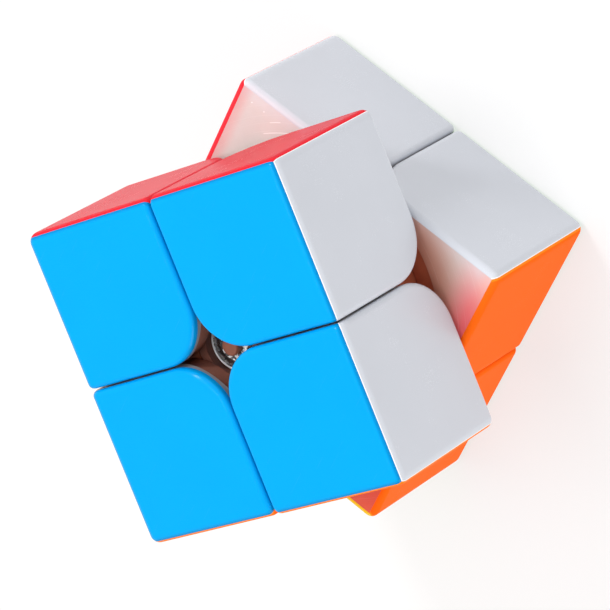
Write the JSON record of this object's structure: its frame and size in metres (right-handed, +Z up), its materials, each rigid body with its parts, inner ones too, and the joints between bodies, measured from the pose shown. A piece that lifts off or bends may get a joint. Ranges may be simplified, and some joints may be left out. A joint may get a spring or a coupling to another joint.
{
  "type": "twisty puzzle cube",
  "caption": "Two-layer stickerless twisty puzzle cube with one layer part-way through a turn, on a spring-tensioned core.",
  "frame": {"origin": "centre of the core, which is also the centre of the whole cube", "axes": "+Z up along the axis of the layer that is turned, from the green side to the blue side; the bottom layer stands square to X and Y, with its white side towards +X, red +Y, yellow -X and orange -Y; the top layer is turned by -37.8 degrees about +Z at rest"},
  "size_m": [0.069, 0.069, 0.05],
  "materials": {
    "blue_shell": "smooth moulded gloss",
    "green_shell": "smooth moulded gloss",
    "white_shell": "smooth moulded gloss",
    "yellow_shell": "smooth moulded gloss",
    "red_shell": "smooth moulded gloss",
    "orange_shell": "smooth moulded gloss",
    "milky_housing": "milky, lightly rubbed",
    "brown_foot": "smooth dark",
    "brown_edges": "smooth dark",
    "brown_caps": "smooth dark",
    "brown_core": "smooth dark",
    "clear_nuts": "clear moulded plastic",
    "spring_steel": "drawn wire",
    "magnets": "nickel plate"
  },
  "bodies": {
    "bottom_layer": {"bottom_back_left_foot": "brown_foot", "bottom_back_left_green_tile": "green_shell", "bottom_back_left_housing": "milky_housing", "bottom_back_left_red_tile": "red_shell", "bottom_back_left_yellow_tile": "yellow_shell", "bottom_back_right_foot": "brown_foot", "bottom_back_right_green_tile": "green_shell", "bottom_back_right_housing": "milky_housing", "bottom_back_right_red_tile": "red_shell", "bottom_back_right_white_tile": "white_shell", "bottom_centre_cap": "brown_caps", "bottom_front_left_foot": "brown_foot", "bottom_front_left_green_tile": "green_shell", "bottom_front_left_housing": "milky_housing", "bottom_front_left_orange_tile": "orange_shell", "bottom_front_left_yellow_tile": "yellow_shell", "bottom_front_right_foot": "brown_foot", "bottom_front_right_green_tile": "green_shell", "bottom_front_right_housing": "milky_housing", "bottom_front_right_orange_tile": "orange_shell", "bottom_front_right_white_tile": "white_shell", "bottom_hidden_edges": "brown_edges", "bottom_magnets": "magnets"},
    "core": {"core": "brown_core", "middle_hidden_edges": "brown_edges", "tension_springs": "spring_steel", "right_centre_cap": "brown_caps", "left_centre_cap": "brown_caps", "back_centre_cap": "brown_caps", "front_centre_cap": "brown_caps"},
    "top_layer": {"top_back_left_blue_tile": "blue_shell", "top_back_left_foot": "brown_foot", "top_back_left_housing": "milky_housing", "top_back_left_red_tile": "red_shell", "top_back_left_yellow_tile": "yellow_shell", "top_back_right_blue_tile": "blue_shell", "top_back_right_foot": "brown_foot", "top_back_right_housing": "milky_housing", "top_back_right_red_tile": "red_shell", "top_back_right_white_tile": "white_shell", "top_centre_cap": "brown_caps", "top_front_left_blue_tile": "blue_shell", "top_front_left_foot": "brown_foot", "top_front_left_housing": "milky_housing", "top_front_left_orange_tile": "orange_shell", "top_front_left_yellow_tile": "yellow_shell", "top_front_right_blue_tile": "blue_shell", "top_front_right_foot": "brown_foot", "top_front_right_housing": "milky_housing", "top_front_right_orange_tile": "orange_shell", "top_front_right_white_tile": "white_shell", "top_hidden_edges": "brown_edges", "top_magnets": "magnets"},
    "right_nut": {"right_tension_nut": "clear_nuts"},
    "left_nut": {"left_tension_nut": "clear_nuts"},
    "back_nut": {"back_tension_nut": "clear_nuts"},
    "front_nut": {"front_tension_nut": "clear_nuts"},
    "top_nut": {"top_tension_nut": "clear_nuts"},
    "bottom_nut": {"bottom_tension_nut": "clear_nuts"}
  },
  "joints": [
    {"name": "bottom_layer_turn", "type": "hinge", "parent": "bottom_layer", "child": "core", "pos_m": [0, 0, 0], "axis": [0, 0, 1], "continuous": true},
    {"name": "top_layer_turn", "type": "hinge", "parent": "core", "child": "top_layer", "pos_m": [0, 0, 0], "axis": [0, 0, 1], "continuous": true},
    {"name": "right_nut_turn", "type": "hinge", "parent": "core", "child": "right_nut", "pos_m": [0, 0, 0], "axis": [1, 0, 0], "range_deg": [-180, 180]},
    {"name": "left_nut_turn", "type": "hinge", "parent": "core", "child": "left_nut", "pos_m": [0, 0, 0], "axis": [-1, 0, 0], "range_deg": [-180, 180]},
    {"name": "back_nut_turn", "type": "hinge", "parent": "core", "child": "back_nut", "pos_m": [0, 0, 0], "axis": [0, 1, 0], "range_deg": [-180, 180]},
    {"name": "front_nut_turn", "type": "hinge", "parent": "core", "child": "front_nut", "pos_m": [0, 0, 0], "axis": [0, -1, 0], "range_deg": [-180, 180]},
    {"name": "top_nut_turn", "type": "hinge", "parent": "core", "child": "top_nut", "pos_m": [0, 0, 0], "axis": [0, 0, 1], "range_deg": [-180, 180]},
    {"name": "bottom_nut_turn", "type": "hinge", "parent": "core", "child": "bottom_nut", "pos_m": [0, 0, 0], "axis": [0, 0, -1], "range_deg": [-180, 180]}
  ]
}
